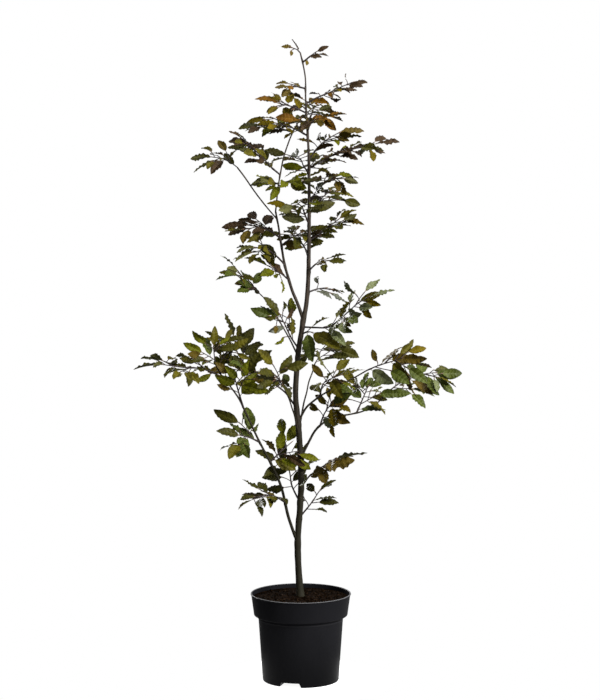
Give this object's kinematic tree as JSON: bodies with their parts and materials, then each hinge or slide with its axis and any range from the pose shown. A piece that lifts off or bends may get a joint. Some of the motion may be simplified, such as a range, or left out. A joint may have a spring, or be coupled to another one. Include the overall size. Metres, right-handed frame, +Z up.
{
  "type": "potted copper beech tree",
  "caption": "Young copper beech with an open, layered crown of bronze-green leaves on a slender leaning trunk, growing in a round black nursery pot filled with peat.",
  "frame": {"origin": "centre of the pot's flat underside", "axes": "+Z up along the tree, -Y towards the front as pictured, +X to the right seen from the front"},
  "size_m": [0.8482, 0.6363, 1.6602],
  "materials": {
    "bark": "matt grey-brown young bark with small pale pores",
    "leafy_twigs": "satin olive, bronze and dark green beech leaves on thin red-brown twigs",
    "bronze_leaves": "satin orange-bronze young beech leaves on thin red-brown twigs",
    "pot_black": "satin black moulded plastic",
    "peat": "rough dark brown fibrous peat"
  },
  "bodies": {
    "root": {"pot": "pot_black", "soil": "peat", "trunk": "bark", "bough_back": "bark", "bough_fork": "bark", "bough_fork_left": "bark", "bough_fork_up": "bark", "bough_front": "bark", "bough_left_high": "bark", "bough_left_low": "bark", "bough_right_long": "bark", "bough_right_low": "bark", "spray_back": "leafy_twigs", "spray_crest_back": "bronze_leaves", "spray_crest_left": "bronze_leaves", "spray_crest_right": "bronze_leaves", "spray_fork_face": "leafy_twigs", "spray_fork_front": "leafy_twigs", "spray_fork_high": "leafy_twigs", "spray_fork_left": "leafy_twigs", "spray_fork_low": "leafy_twigs", "spray_fork_middle": "leafy_twigs", "spray_fork_right": "leafy_twigs", "spray_fork_top": "leafy_twigs", "spray_fork_upper": "leafy_twigs", "spray_front": "leafy_twigs", "spray_inner_back": "leafy_twigs", "spray_inner_left": "leafy_twigs", "spray_inner_low": "leafy_twigs", "spray_inner_right": "leafy_twigs", "spray_left_end": "leafy_twigs", "spray_left_flank": "leafy_twigs", "spray_left_high": "leafy_twigs", "spray_left_inner": "leafy_twigs", "spray_left_low": "leafy_twigs", "spray_left_mid": "leafy_twigs", "spray_left_shoulder": "leafy_twigs", "spray_left_upright": "leafy_twigs", "spray_low_foot": "leafy_twigs", "spray_low_left": "leafy_twigs", "spray_low_right": "leafy_twigs", "spray_middle_back": "leafy_twigs", "spray_middle_front": "leafy_twigs", "spray_middle_low": "leafy_twigs", "spray_middle_right": "leafy_twigs", "spray_right_drop": "leafy_twigs", "spray_right_end": "leafy_twigs", "spray_right_flank": "leafy_twigs", "spray_right_high": "leafy_twigs", "spray_right_inner": "leafy_twigs", "spray_right_long": "leafy_twigs", "spray_right_under": "leafy_twigs", "spray_shoulder_front": "leafy_twigs", "spray_shoulder_left": "leafy_twigs", "spray_tip": "bronze_leaves", "spray_top_left": "bronze_leaves", "spray_top_right": "bronze_leaves", "spray_upper_back": "leafy_twigs", "spray_upper_right": "leafy_twigs", "spray_upper_right_long": "leafy_twigs"}
  },
  "joints": []
}
